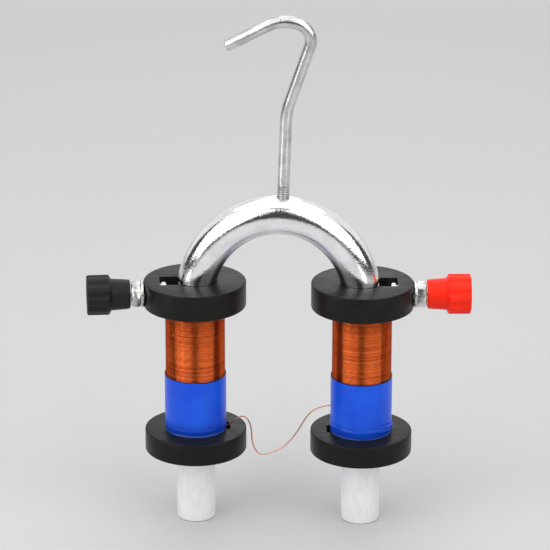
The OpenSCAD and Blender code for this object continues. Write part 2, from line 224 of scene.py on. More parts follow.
def sweep(spot, heading, runs):
    # drives the selected ring through the XZ plane
    # a run is (0, length, steps) straight on or (radius, degrees, steps) round a bend
    for radius, size, steps in runs:
        if radius == 0:
            ahead = Vector((math.sin(heading), 0, math.cos(heading))) * size
            for _ in range(steps):
                extrude(ahead / steps)
            spot = spot + ahead
        else:
            side = math.copysign(radius, size)
            middle = spot + side * Vector((math.cos(heading), 0, -math.sin(heading)))
            bpy.ops.mesh.spin(steps=steps, angle=-math.radians(size), center=middle, axis=(0, 1, 0))
            heading += math.radians(size)
            spot = middle - side * Vector((math.cos(heading), 0, -math.sin(heading)))


def turned(name, rings, sides, closed=True):
    # a lathe shape about Z: a ring is extruded and resized from one (radius, height) to the next
    only()
    startRadius, startHeight = rings[0]
    bpy.ops.mesh.primitive_circle_add(vertices=sides, radius=startRadius, location=(0, 0, startHeight))
    piece = settle(name)
    edit(piece)
    following = rings[1:] + (rings[:1] if closed else [])
    for (radius, height), (nextRadius, nextHeight) in zip(rings, following):
        extrude((0, 0, nextHeight - height))
        size = nextRadius / radius
        bpy.ops.transform.resize(value=(size, size, 1), center_override=(0, 0, nextHeight))
    if not closed:            # flat ends on a solid bar
        bpy.ops.mesh.edge_face_add()
        pickEdges(atHeight(startHeight))
        bpy.ops.mesh.edge_face_add()
    return close(piece)


def drum(radius, low, high, spot=(0, 0), sides=96):      # a plain cutter
    only()
    bpy.ops.mesh.primitive_cylinder_add(vertices=sides, radius=radius, depth=high - low,
                                        location=(spot[0], spot[1], (low + high) / 2))
    return settle("cutter")


def block(low, high):         # a box-shaped cutter between two corners
    only()
    bpy.ops.mesh.primitive_cube_add(size=1, location=[(a + b) / 2 for a, b in zip(low, high)])
    bpy.context.active_object.scale = [b - a for a, b in zip(low, high)]
    return settle("cutter")


def cut(piece, cutter, operation="DIFFERENCE"):
    only(piece)
    carve = piece.modifiers.new("carve", "BOOLEAN")
    carve.object, carve.operation, carve.solver = cutter, operation, "EXACT"
    bpy.ops.object.modifier_apply(modifier=carve.name)
    bpy.data.objects.remove(cutter)


def joined(pieces, name):
    only(*pieces)
    bpy.ops.object.join()
    piece = bpy.context.active_object
    piece.name = piece.data.name = name
    return piece


def turnTo(piece, turn, spot=(0, 0, 0)):  # puts a piece made about Z where it belongs
    only(piece)
    piece.rotation_euler, piece.location = turn, spot
    bpy.ops.object.transform_apply(location=True, rotation=True, scale=True)
    return piece


def bothSides(piece, name, flip=False):   # the piece on the right, a copy with its own mesh on the left
    only(piece)
    bpy.ops.object.duplicate()
    copy = bpy.context.active_object
    if flip:
        copy.scale.x = -1
        bpy.ops.object.transform_apply(location=True, rotation=True, scale=True)
        edit(copy)
        bpy.ops.mesh.normals_make_consistent(inside=False)
        only(copy)
    pair = {"right": piece, "left": copy}
    for side, item in pair.items():
        item.name = item.data.name = side + name
    return pair


def reshape(piece, move):                 # moves each point of a mesh by code
    for point in piece.data.vertices:
        point.co = move(point.co.copy())
    piece.data.update()


def coat(piece, material, body, slot, *replaced):
    piece.data.materials.clear()
    piece.data.materials.append(material)
    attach(piece, body)
    if replaced:
        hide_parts(*replaced)


def step(value, low, high):               # smooth step from 0 at low to 1 at high
    share = min(max((value - low) / (high - low), 0), 1)
    return share * share * (3 - 2 * share)


def furrow(turns):                        # 1 at the bottom of a thread's groove, 0 on its crest
    return abs(turns % 1 * 2 - 1)


def roundNoise(turn, waves, row):         # noise that meets itself again after a turn
    return noise.noise(Vector((waves * math.cos(turn), waves * math.sin(turn), row)))


# Finishes

plate = {"blots": 5 * mm, "grains": 0.65 * mm, "lines": 0.5 * mm, "linesRun": (0.05, 1, 0.05),
         "lineShare": 0.5, "patches": (0.42, 0.62), "patchShade": 0.6, "patchRough": 0.05, "grainRough": 0.04,
         "blotDepth": 0.25, "lineDepth": 0.2, "depth": 0.05 * mm}


def plating(f, tint, rough, grain, blot):
    place = f.place()
    blots = f.cloud(place, plate["blots"], detail=4)
    grains = f.cloud(place, plate["grains"], detail=2)
    drawn = f.place(scale=plate["linesRun"])                 # along a bar that is bent in XZ
    lines = f.cloud(drawn, plate["lines"], detail=3)
    share = plate["lineShare"]
    patches = f.between(blots * (1 - share) + lines * share, *plate["patches"])
    shade = f.mix(patches * blot, opaque(tint), opaque(tint, plate["patchShade"]))
    height = grains * grain + blots * plate["blotDepth"] + lines * plate["lineDepth"]
    rough = rough + patches * plate["patchRough"] + grains * plate["grainRough"]
    return shade, rough, f.bump(height, plate["depth"]), patches


def platedFinish(name, **look):
    f = Finish(name)
    shade, rough, normal = plating(f, **look)[:3]
    return f.finish(colour=shade, metal=1.0, rough=rough, normal=normal)


wear = {"poles": (0.030, 0.046), "ragged": 0.004, "pale": (0.97, 0.97, 0.98), "stain": (0.80, 0.805, 0.82),
        "stainShare": 0.5, "bare": 0.8, "rough": 0.35, "stainRough": 0.1,
        # painted shade on the inside of the bend
        "inside": (0.0284, 0.0302), "bendShadeTint": (0.13, 0.13, 0.135), "bendShadeShare": 0.85,
        "dull": (0.0295, 0.0345), "dullRough": 0.32}


def coreFinish(name, **look):             # the same plating, worn dull and pale towards the pole faces
    f = Finish(name)
    shade, rough, normal, patches = plating(f, **look)
    worn = 1 - f.between(f.height(f.place()) + patches * wear["ragged"], *wear["poles"])
    pale = f.mix(patches * wear["stainShare"], opaque(wear["pale"]), opaque(wear["stain"]))
    fromBend = f.reach(f.place(scale=(1, 0, 1), shift=(0, 0, -bar["legTop"])))
    inside = 1 - f.between(fromBend, *wear["inside"])        # painted shade: the inside of the bend is darkened
    dull = 1 - f.between(fromBend, *wear["dull"])
    # painted shade: the inside of the bend takes a dark tint
    shade = f.mix(inside * wear["bendShadeShare"], shade, opaque(wear["bendShadeTint"]))
    rough = rough + dull * wear["dullRough"] + worn * (wear["rough"] + patches * wear["stainRough"])
    shade = f.mix(worn, shade, pale)
    return f.finish(colour=shade, metal=1 - worn * wear["bare"], rough=rough, normal=normal)


moulding = {"clouds": 9 * mm, "cloudy": (0.3, 0.7), "cloudShare": 0.5, "cloudShade": 1.5, "cloudRough": 0.12,
            "specks": (210, 0.035, 0.07), "dusty": 4 * mm, "dustShare": (0.56, 0.62), "speckRough": 0.2,
            "rubs": 0.6 * mm, "rubTurn": (0, 0, 0.2), "rubRun": (0.05, 1, 1), "rubShare": (0.45, 0.65),
            "grains": 0.35 * mm, "grainDepth": 0.3, "cloudDepth": 0.5, "depth": 0.03 * mm, "relief": 0.5}


def plasticFinish(name, tint, dust, rough, gloss, scuffs=0.0):
    f = Finish(name)
    place = f.place()
    clouds = f.cloud(place, moulding["clouds"], detail=4)
    cloudy = f.between(clouds, *moulding["cloudy"]) * moulding["cloudShare"]
    shade = f.mix(cloudy, opaque(tint), opaque(tint, moulding["cloudShade"]))
    dusty = f.between(f.cloud(place, moulding["dusty"], detail=1), *moulding["dustShare"])
    specks = f.dots(place, *moulding["specks"]) * dusty
    rubs = f.cloud(f.place(turn=moulding["rubTurn"], scale=moulding["rubRun"]), moulding["rubs"], detail=2)
    rough = rough + clouds * moulding["cloudRough"] + specks * moulding["speckRough"]
    rough = rough + f.between(rubs, *moulding["rubShare"]) * scuffs
    grains = f.cloud(place, moulding["grains"], detail=2)
    height = grains * moulding["grainDepth"] + clouds * moulding["cloudDepth"]
    return f.finish(colour=f.mix(specks, shade, opaque(dust)), gloss=gloss, rough=rough,
                    normal=f.bump(height, moulding["depth"], moulding["relief"]))


copper = {"rows": 0.36 * mm, "rowsRun": (0.004, 0.004, 1), "rowShare": 0.85, "blots": 8 * mm,
          "shading": (0.34, 0.62), "chips": (260, 0.05, 0.10), "chipped": 3 * mm,
          "chippedShare": (0.60, 0.66), "bare": (0.92, 0.62, 0.48), "bareShare": 0.7, "blotRough": 0.04,
          "chipRough": 0.2, "coatRough": 0.1, "skin": 0.4 * mm, "depth": 0.01 * mm, "relief": 0.3}


def copperFinish(name, tint, dark, rough, edge=(1, 1, 1), lacquer=0.0):
    f = Finish(name)
    place = f.place()
    level = f.place(scale=copper["rowsRun"])                 # turns differ a little all round
    rows = f.cloud(level, copper["rows"], detail=2)
    blots = f.cloud(place, copper["blots"], detail=2)
    share = copper["rowShare"]
    light = f.between(rows * share + blots * (1 - share), *copper["shading"])
    chipped = f.between(f.cloud(place, copper["chipped"], detail=1), *copper["chippedShare"])
    chips = f.dots(place, *copper["chips"]) * chipped
    shade = f.mix(light, opaque(dark), opaque(tint))
    shade = f.mix(chips * copper["bareShare"], shade, opaque(copper["bare"]))
    rough = rough + blots * copper["blotRough"] + chips * copper["chipRough"]
    skin = f.cloud(place, copper["skin"], detail=2)
    return f.finish(colour=shade, metal=1.0, edge=opaque(edge), rough=rough, coat=lacquer,
                    coatRough=copper["coatRough"], normal=f.bump(skin, copper["depth"], copper["relief"]))


pvc = {"clouds": 11 * mm, "cloudy": (0.3, 0.7), "dark": (0.003, 0.072, 0.68), "light": (0.006, 0.100, 0.78),
       # the lap's tint is the doubled tape's deeper colour together with painted shade from the flange
       "ragged": 0.002, "lap": (0.0415, 0.0472), "lapAndShadeTint": (0.003, 0.036, 0.36), "lapAndShadeShare": 0.65,
       "hem": (0.0408, 0.0412), "hemTint": (0.20, 0.30, 0.62), "hemShare": 0.35,
       "rim": (0.0642, 0.0647), "rimTint": (0.002, 0.010, 0.06), "gloss": 0.28, "rough": 0.26,
       "cloudRough": 0.10, "skin": 0.8 * mm, "cloudDepth": 0.7, "depth": 0.05 * mm, "relief": 0.35}


def tapeFinish(name):
    f = Finish(name)
    place = f.place()
    clouds = f.cloud(place, pvc["clouds"], detail=3)
    height = f.height(place) + (clouds - 0.5) * pvc["ragged"]
    shade = f.mix(f.between(clouds, *pvc["cloudy"]), opaque(pvc["dark"]), opaque(pvc["light"]))
    lapAndShade = 1 - f.between(height, *pvc["lap"])              # darker at the foot: the doubled tape, with painted shade from the flange
    shade = f.mix(lapAndShade * pvc["lapAndShadeShare"], shade, opaque(pvc["lapAndShadeTint"]))
    hem = 1 - f.between(height, *pvc["hem"])                 # paler along the bottom edge
    shade = f.mix(hem * pvc["hemShare"], shade, opaque(pvc["hemTint"]))
    rim = f.between(height, *pvc["rim"])                     # darker along the upper edge
    shade = f.mix(rim, shade, opaque(pvc["rimTint"]))
    skin = f.cloud(place, pvc["skin"], detail=3) + clouds * pvc["cloudDepth"]
    return f.finish(colour=shade, gloss=pvc["gloss"], rough=pvc["rough"] + clouds * pvc["cloudRough"],
                    normal=f.bump(skin, pvc["depth"], pvc["relief"]))


card = {"fibres": 0.7 * mm, "fibresRun": (1, 1, 0.2), "dark": (0.10, 0.085, 0.065),
        "light": (0.16, 0.14, 0.11), "rough": 0.7, "fibreRough": 0.15, "depth": 0.06 * mm, "relief": 0.4}


def cardFinish(name):
    f = Finish(name)
    fibres = f.cloud(f.place(scale=card["fibresRun"]), card["fibres"], detail=4)
    shade = f.mix(fibres, opaque(card["dark"]), opaque(card["light"]))
    return f.finish(colour=shade, rough=card["rough"] + fibres * card["fibreRough"],
                    normal=f.bump(fibres, card["depth"], card["relief"]))


# Core: one bent bar

bar = {"radius": 0.008, "legX": 0.0346, "legTop": 0.098, "legSteps": 12, "chamfer": 0.0008, "chamferSteps": 4,
       "haunch": (0.0376, -53.1301, 30), "crown": (0.0326, -73.7398, 44),    # radius, degrees, steps
       "holes": [(0.00255, 0.011), (0.0030, 0.0012)],       # radius, depth
       "sides": 96, "holeSides": 64}


def makeCore():
    only()
    start = Vector((bar["legX"], 0, 0))
    bpy.ops.mesh.primitive_circle_add(vertices=bar["sides"], radius=bar["radius"], location=start)
    piece = settle("core")
    edit(piece)
    leg = (0, bar["legTop"], bar["legSteps"])
    sweep(start, 0, [leg, bar["haunch"], bar["crown"], bar["haunch"], leg])
    bpy.ops.mesh.edge_face_add()
    onPole = atHeight(0)
    pickEdges(lambda co: onPole(co) and co.x > 0)
    bpy.ops.mesh.edge_face_add()
    pickEdges(onPole)
    bpy.ops.mesh.bevel(offset=bar["chamfer"], segments=bar["chamferSteps"], affect="EDGES")
    close(piece)
    for radius, depth in bar["holes"]:
        cutter = drum(radius, -depth, bar["radius"], sides=bar["holeSides"])
        cut(piece, turnTo(cutter, (0, math.radians(hook["lean"]), 0), hook["foot"]))
    return close(piece)


# Hook: a rod bent in one plane, its bends given like the bar's, with a rolled thread at its foot

hook = {"radius": 0.0025, "foot": (0.0018, 0, 0.1426), "lean": 1.9, "sunk": 0.010, "sides": 48,
        "land": 0.0002, "shank": 0.0314, "sway": (0.030, 17, 16), "slant": 0.0241, "crook": (0.007, -89, 44),
        "brow": (0.016, -47, 26), "tip": 0.0185, "tipRound": 0.0006, "tipSteps": 3, "smooth": 50,
        "threadFoot": -0.003, "threadTop": 0.0052, "threadRings": 96, "threadSpare": 0.0006,
        "threadEnd": 0.0005, "threadFade": (-0.0004, 0.0003), "threadRise": 0.0005,
        "threadFlank": (0.35, 0.95), "threadCrest": 0.00010, "threadDepth": 0.00034, "pitch": 0.0008}


def makeHook():
    lean, foot, top = math.radians(hook["lean"]), Vector(hook["foot"]), hook["threadTop"]
    axis = Vector((math.sin(lean), 0, math.cos(lean)))
    start = foot - axis * hook["sunk"]
    only()
    bpy.ops.mesh.primitive_circle_add(vertices=hook["sides"], radius=hook["radius"], location=start,
                                      rotation=(0, lean, 0))
    piece = settle("hook")
    edit(piece)
    land = (0, hook["land"], 1)           # a short straight between bends keeps their shading clean
    plain = hook["sunk"] + hook["threadFoot"]
    threaded = top - hook["threadFoot"] + hook["threadSpare"]
    bare = hook["shank"] + hook["sunk"] - plain - threaded
    sweep(start, lean, [
        (0, plain, 1), (0, threaded, hook["threadRings"]), (0, bare, 1), land, hook["sway"], land,
        (0, hook["slant"], 1), land, hook["crook"], land, hook["brow"], land, (0, hook["tip"], 1)])
    bpy.ops.mesh.edge_face_add()
    bpy.ops.mesh.bevel(offset=hook["tipRound"], segments=hook["tipSteps"], affect="EDGES")
    pickEdges(lambda co: (co - start).dot(axis) < near)
    bpy.ops.mesh.edge_face_add()
    close(piece)
    fadeLow, fadeHigh = hook["threadFade"]

    def cutThread(co):
        along = (co - foot).dot(axis)
        if not hook["threadFoot"] < along < top + hook["threadEnd"]:
            return co
        out = co - foot - axis * along
        wave = furrow(along / hook["pitch"] - math.atan2(out.y, out.x) / math.tau)
        fade = 1 - step(along, top + fadeLow, top + fadeHigh)
        proud = step(along, 0, hook["threadRise"]) * hook["threadCrest"]     # only above the hole
        lift = (proud - (proud + hook["threadDepth"]) * step(wave, *hook["threadFlank"])) * fade
        return foot + axis * along + out.normalized() * (hook["radius"] + lift)

    reshape(piece, cutThread)
    return close(piece, hook["smooth"])


# Flanges: moulded discs on the ends of each coil

flange = {"radius": 0.0212, "round": 0.0006, "roundSteps": 4, "sides": 160, "bore": 0.0082, "seat": 0.00985,
          "low": (0.0311, 0.0404), "lip": 0.0033, "slotReach": 0.0144, "slotWidth": 0.0074,
          "top": (0.095, 0.1057), "seatDepth": 0.003, "relief": 0.00102, "pocketReach": 0.0145,
          "pocketWidth": 0.01004, "tailHole": 0.00265, "holeSides": 32, "seam": (0.00036, 0.00009, 4.7),
          "smooth": 35}
postHeight = 0.10035
sideSign = {"left": -1, "right": 1}
coilTurn = {"left": 7, "right": 3}        # degrees on its leg, anticlockwise from above


def toLeg(piece, side):                   # from the origin to its leg, turned with its coil
    return turnTo(piece, (0, 0, math.radians(coilTurn[side])), (sideSign[side] * bar["legX"], 0, 0))


def toPost(piece, side):                  # from the Z axis to its terminal post
    turnTo(piece, (0, sideSign[side] * math.pi / 2, 0), (0, 0, postHeight))
    return toLeg(piece, side)


def flangeDisc(low, high):
    only()
    bpy.ops.mesh.primitive_cylinder_add(vertices=flange["sides"], radius=flange["radius"], depth=high - low,
                                        location=(0, 0, (low + high) / 2))
    piece = settle("flange")
    edit(piece)
    for level in (low, high):
        pickEdges(atHeight(level))
        bpy.ops.mesh.bevel(offset=flange["round"], segments=flange["roundSteps"], affect="EDGES")
    only(piece)
    return piece


def makeLowerFlange():                    # as on the right, its slot towards the other leg
    low, high = flange["low"]
    piece = flangeDisc(low, high)
    cut(piece, drum(flange["bore"], low - mm, high + mm))
    cut(piece, drum(flange["seat"], low + flange["lip"], high + mm))
    half = flange["slotWidth"] / 2
    cut(piece, block((-flange["slotReach"], -half, low - mm), (0, half, high + mm)))
    width, proud, turn = flange["seam"]   # faint line where the mould's halves met
    face, ease = -flange["radius"], flange["round"]
    seam = block((-width / 2, face - proud, low + ease), (width / 2, face + mm, high - ease))
    cut(piece, turnTo(seam, (0, 0, math.radians(turn))), "UNION")
    return close(piece, flange["smooth"])


def makeTopFlange():                      # as on the right, its pocket towards the terminal
    low, high = flange["top"]
    piece = flangeDisc(low, high)
    cut(piece, drum(flange["seat"], low - mm, low + flange["seatDepth"]))
    cut(piece, drum(flange["bore"], low - mm, high + mm))
    half = flange["pocketWidth"] / 2
    cut(piece, block((0, -half, low - mm), (flange["pocketReach"], half, high + mm)))
    hole = drum(flange["tailHole"], flange["pocketReach"] - mm, flange["radius"] + mm,
                sides=flange["holeSides"])
    cut(piece, turnTo(hole, (0, math.pi / 2, 0), (0, 0, postHeight)))
    return close(piece, flange["smooth"])


def relieve(piece, side):                 # room for the bend of the arch, however the coil is turned
    turn = math.radians(coilTurn[side])
    low, high = flange["top"]
    shift = -sideSign[side] * flange["relief"]
    cut(piece, drum(flange["bore"], low - mm, high + mm, (shift * math.cos(turn), -shift * math.sin(turn))))
    return close(piece, flange["smooth"])


# Windings: fine enamelled wire in one helix over the inner layers

winding = {"radius": 0.01215, "wire": 0.000245, "wireSides": 6, "pitch": 0.0005, "low": 0.0645, "turns": 60,
           "steps": 96, "wander": 0.000008, "wanderRound": 0.5, "wanderTurns": 0.37, "wanderUp": 0.5,
           "leadBend": [(-0.0003, 0), (0.0002, 0), (0.0006, 0.0001), (0.0008, 0.0004)], "leadTop": 0.0952,
           "inner": 0.00988, "under": 0.01186, "taped": 0.01238, "ends": (0.04069, 0.09462),
           "tapedTop": 0.0640, "layers": 5, "sides": 96, "endTurnSides": (72, 8), "turnSmooth": 80,
           "layerSmooth": 40}


def makeOuterLayer():
    radius, low, pitch, wire = (winding[k] for k in ("radius", "low", "pitch", "wire"))
    only()
    bpy.ops.mesh.primitive_circle_add(vertices=winding["wireSides"], radius=wire, location=(radius, 0, low),
                                      rotation=(math.pi / 2, 0, 0))
    piece = settle("outerTurns")
    coil = piece.modifiers.new("coil", "SCREW")
    coil.axis, coil.angle, coil.screw_offset = "Z", math.tau, pitch
    coil.iterations, coil.steps, coil.render_steps = winding["turns"], winding["steps"], winding["steps"]
    coil.use_merge_vertices = False
    bpy.ops.object.modifier_apply(modifier=coil.name)

    def wander(co):           # hand-wound turns don't lie quite even
        side = math.atan2(co.y, co.x)
        turn = (co.z - low) / pitch
        drift = roundNoise(side, winding["wanderRound"], turn * winding["wanderTurns"])
        return co + Vector((math.cos(side), math.sin(side), winding["wanderUp"])) * drift * winding["wander"]

    reshape(piece, wander)
    top = low + winding["turns"] * pitch
    spots = [(radius, along, top + up) for along, up in winding["leadBend"]]
    spots.append((radius, spots[-1][1], winding["leadTop"]))
    only(tubeCurve("lead", spots, wire))
    bpy.ops.object.convert(target="MESH")
    piece = joined([bpy.context.active_object, piece], "outerTurns")
    edit(piece)
    bpy.ops.mesh.remove_doubles(threshold=hair)
    bpy.ops.mesh.select_all(action="DESELECT")
    bpy.ops.mesh.select_non_manifold()    # only the ends of the helix are open
    bpy.ops.mesh.edge_face_add()
    return close(piece, winding["turnSmooth"])


def makeInnerLayers():
    low, high = winding["ends"]
    inner, under, taped, tapedTop = (winding[k] for k in ("inner", "under", "taped", "tapedTop"))
    wire = winding["wire"]
    around, across = winding["endTurnSides"]
    rings = [(inner, low), (taped, low), (taped, tapedTop), (under, tapedTop), (under, high), (inner, high)]
    parts = [turned("body", rings, winding["sides"])]
    for layer in range(winding["layers"]):
        for height, most in ((low, taped), (high, under)):
            radius = most - wire - layer * winding["pitch"]
            if radius - wire < inner:
                continue
            only()
            bpy.ops.mesh.primitive_torus_add(major_radius=radius, minor_radius=wire, major_segments=around,
                                             minor_segments=across, location=(0, 0, height))
            parts.append(settle("turn"))
    return smooth(joined(parts, "innerLayers"), winding["layerSmooth"])


# Tape: wrapped round the lower part of each winding

tape = {"inner": 0.01245, "outer": 0.01275, "low": 0.0404, "high": 0.065, "sides": 168, "rows": 64,
        "smooth": 50, "lap": {"left": 0.00014, "right": 0.00032}, "lapTop": {"left": 0.0432, "right": 0.0441},
        "lapEdge": 0.00015, "lapWave": (0.0003, 2, 3),       # a wave's height, waves round and row of noise
        "seam": 2.2, "wrap": 0.0001, "wrapStart": (0, 0.006), "wrapFade": (0.3, 1),
        "crease": {"left": 0.00005, "right": 0.00028}, "creaseSpot": (66, 0.0440), "creaseSize": (28, 0.0024),
        "ripples": 3600, "rippleSlant": 0.12, "skin": 0.00004, "skinPerMetre": 160,
        "drawn": 0.0003, "drawnFade": (-0.0008, 0.0036), "edge": 0.0635, "edgeWave": (0.00012, 1.7, 9)}


def makeTape(name, side):
    low, high, outer = tape["low"], tape["high"], tape["outer"]
    only()
    bpy.ops.mesh.primitive_cylinder_add(vertices=tape["sides"], radius=outer, depth=high - low,
                                        end_fill_type="NOTHING", location=(0, 0, low + (high - low) / 2))
    piece = settle(name)
    edit(piece)
    mesh = bmesh.from_edit_mesh(piece.data)
    for edge in mesh.edges:
        edge.select_set(abs(edge.verts[0].co.z - edge.verts[1].co.z) > mm)
    bmesh.update_edit_mesh(piece.data)
    bpy.ops.mesh.subdivide(number_cuts=tape["rows"])
    only(piece)
    lap, lapTop, lapEdge = tape["lap"][side], tape["lapTop"][side], tape["lapEdge"]
    (creaseTurn, creaseUp), (wide, tall) = tape["creaseSpot"], tape["creaseSize"]
    drawnLow, drawnHigh = tape["drawnFade"]
    fine = tape["skinPerMetre"]

    def wave(kind, turn):
        size, waves, row = tape[kind]
        return size * roundNoise(turn, waves, row)

    def wrap(co):
        turn = math.atan2(co.y, co.x)
        front = math.degrees(math.atan2(co.x, -co.y))        # 0 towards the viewer, 90 to the right
        radius, up = outer, co.z
        lapEnd = lapTop + wave("lapWave", turn)
        radius += lap * (1 - step(up, lapEnd - lapEdge, lapEnd + lapEdge))
        wraps = (turn - tape["seam"]) % math.tau / math.tau  # the outer wrap starts at the seam, at the back
        radius += tape["wrap"] * step(wraps, *tape["wrapStart"]) * (1 - step(wraps, *tape["wrapFade"]))
        crease = math.exp(-((front - creaseTurn) / wide) ** 2 - ((up - creaseUp) / tall) ** 2)
        ripple = math.sin((up - low) * tape["ripples"] + front * tape["rippleSlant"])
        radius += tape["crease"][side] * crease * ripple
        radius += tape["skin"] * noise.noise(Vector((co.x * fine, co.y * fine, up * fine)))
        radius -= tape["drawn"] * (1 - step(up, low + drawnLow, low + drawnHigh))    # drawn in at the foot
        up += step(up, tape["edge"], high) * wave("edgeWave", turn)
        return Vector((radius * math.cos(turn), radius * math.sin(turn), min(up, high)))

    reshape(piece, wrap)
    wall = piece.modifiers.new("wall", "SOLIDIFY")
    wall.thickness, wall.offset = outer - tape["inner"], -1
    bpy.ops.object.modifier_apply(modifier=wall.name)
    return turnTo(close(piece, tape["smooth"]), (0, 0, 0), (sideSign[side] * bar["legX"], 0, 0))


# Terminal posts: stud, washer and nut, measured outwards from the leg's axis

post = {"tail": (0.0106, 0.0025), "tailThread": 0.0152, "tailSides": 36,
        "washer": (0.02125, 0.02245, 0.0056, 0.00265), "washerSoft": 0.00025, "washerEase": 0.000075,
        "washerSides": 96, "collar": (0.02245, 0.02625), "collarFlats": 0.0094, "shaft": (0.04365, 0.0030),
        "shaftSides": 48, "plainNeck": 0.0029, "socket": (0.00203, 0.013), "socketTip": (0.0002, 0.0009),
        "cross": (0.0010, 0.0016), "crossSides": 32, "nut": (0.0118, 0.0022, 0.008), "nutPlay": 0.00005,
        "pitch": 0.0007, "threadDepth": 0.00022, "threadFlank": (0.2, 0.95), "ringGap": 0.0001,
        "lead": 0.0003, "tuck": 0.0001, "smooth": 40,
        "collarTurn": {"left": 58, "right": 18}, "nutTurn": {"left": -12, "right": 12}}
hexagon = {"crown": 0.97, "slope": 0.6, "clear": 0.0001, "coneSides": 72, "coneTurn": 2, "boreSides": 48,
           "round": 0.00012, "roundSteps": 2, "roundFrom": 25, "sliver": 2e-5}


def hexBlock(name, flats, low, high, bore=None):
    corner = flats / math.sqrt(3)
    only()
    bpy.ops.mesh.primitive_cylinder_add(vertices=6, radius=corner, depth=high - low,
                                        location=(0, 0, (low + high) / 2))
    piece = settle(name)
    face, wide = flats / 2 * hexagon["crown"], corner + hexagon["clear"]
    lead = (corner - face) * hexagon["slope"]
    slim, past = face - (wide - face) / 2, lead / 2          # the cones run on past both ends
    rings = [(slim, low - past), (wide, low + lead), (wide, high - lead), (slim, high + past)]
    cone = turned("cone", rings, hexagon["coneSides"], closed=False)
    cut(piece, turnTo(cone, (0, 0, math.radians(hexagon["coneTurn"]))), "INTERSECT")
    if bore:
        cut(piece, drum(bore, low - mm, high + mm, sides=hexagon["boreSides"]))
    only(piece)
    bevel = piece.modifiers.new("round", "BEVEL")
    bevel.width, bevel.segments, bevel.limit_method = hexagon["round"], hexagon["roundSteps"], "ANGLE"
    bevel.angle_limit = math.radians(hexagon["roundFrom"])
    bpy.ops.object.modifier_apply(modifier=bevel.name)
    edit(piece)
    bpy.ops.mesh.remove_doubles(threshold=hexagon["sliver"])     # takes out the bevel's slivers
    return close(piece)


def threadRod(piece, radius, low, high):
    pitch = post["pitch"]

    def groove(co):
        if not low < co.z < high or abs(math.hypot(co.x, co.y) - radius) > near:
            return co
        wave = furrow(co.z / pitch - math.atan2(co.y, co.x) / math.tau)
        fade = step(co.z, low, low + pitch) * (1 - step(co.z, high - pitch, high))
        size = 1 - post["threadDepth"] * step(wave, *post["threadFlank"]) * fade / radius
        return Vector((co.x * size, co.y * size, co.z))

    reshape(piece, groove)


def evenRings(radius, low, high):
    count = max(1, round((high - low) / post["ringGap"]))
    return [(radius, low + (high - low) * i / count) for i in range(count + 1)]


def makeShaft():              # threaded tail and threaded shaft, bored for a plug
    tailLow, tailRadius = post["tail"]
    tailHigh, lead, tuck = post["tailThread"], post["lead"], post["tuck"]
    collarLow, collarHigh = post["collar"]
    end, radius = post["shaft"]
    bore, depth = post["socket"]
    tipRadius, tipDepth = post["socketTip"]
    rings = [(tailRadius - lead, tailLow)] + evenRings(tailRadius, tailLow + lead, tailHigh)
    tail = turned("tail", rings + [(tailRadius, collarLow + tuck)], post["tailSides"], closed=False)
    threadRod(tail, tailRadius, tailLow + lead, tailHigh)
    threadLow = collarHigh + post["plainNeck"]
    rings = [(radius, collarHigh - tuck), (radius, threadLow - tuck)]
    rings += evenRings(radius, threadLow, end - lead)
    rings += [(radius - lead, end), (bore + lead, end), (bore, end - lead), (bore, end - depth)]
    rings.append((tipRadius, end - depth - tipDepth))
    shaft = turned("shaft", rings, post["shaftSides"], closed=False)
    crossRadius, crossPlace = post["cross"]
    cross = drum(crossRadius, -radius - mm, radius + mm, sides=post["crossSides"])
    cut(shaft, turnTo(cross, (math.pi / 2, 0, 0), (0, 0, collarHigh + crossPlace)))
    threadRod(shaft, radius, threadLow, end - lead)
    return joined([tail, shaft], "shaft")


def makeStud(shaft, collar, side):        # the collar's flats stand where it was tightened
    turnTo(collar, (0, 0, math.radians(post["collarTurn"][side])))
    piece = joined([shaft, collar], side + "Stud")
    return toPost(smooth(piece, post["smooth"]), side)


def makeWasher():
    low, high, outer, inner = post["washer"]
    soft, ease = post["washerSoft"], post["washerEase"]
    rings = [(inner, low), (outer - soft, low), (outer - ease, low + ease), (outer, low + soft),
             (outer, high - soft), (outer - ease, high - ease), (outer - soft, high), (inner, high)]
    return turned("washer", rings, post["washerSides"])


def makeNut():
    start, thick, flats = post["nut"]
    return hexBlock("nut", flats, start, start + thick, post["tail"][1] + post["nutPlay"])


# Caps: moulded knobs with ten flutes round the grip

cap = {"start": 0.02665, "neck": (0.00658, 0.008), "neckRows": 4, "taper": 0.0005, "grip": (0.00828, 0.010),
       "gripRows": 12, "bore": (0.00453, 0.014), "mouth": 0.0033, "chamfer": 0.0009, "arcSteps": 6,
       "ease": 0.0003, "soft": 0.0002, "flutes": 10, "fluteDepth": 0.00065, "fluteRadius": 0.003,
       "fluteTurn": 34, "fluteEdge": 0.00012, "fluteFade": (0.0002, 0.0016), "sides": 240, "smooth": 35}


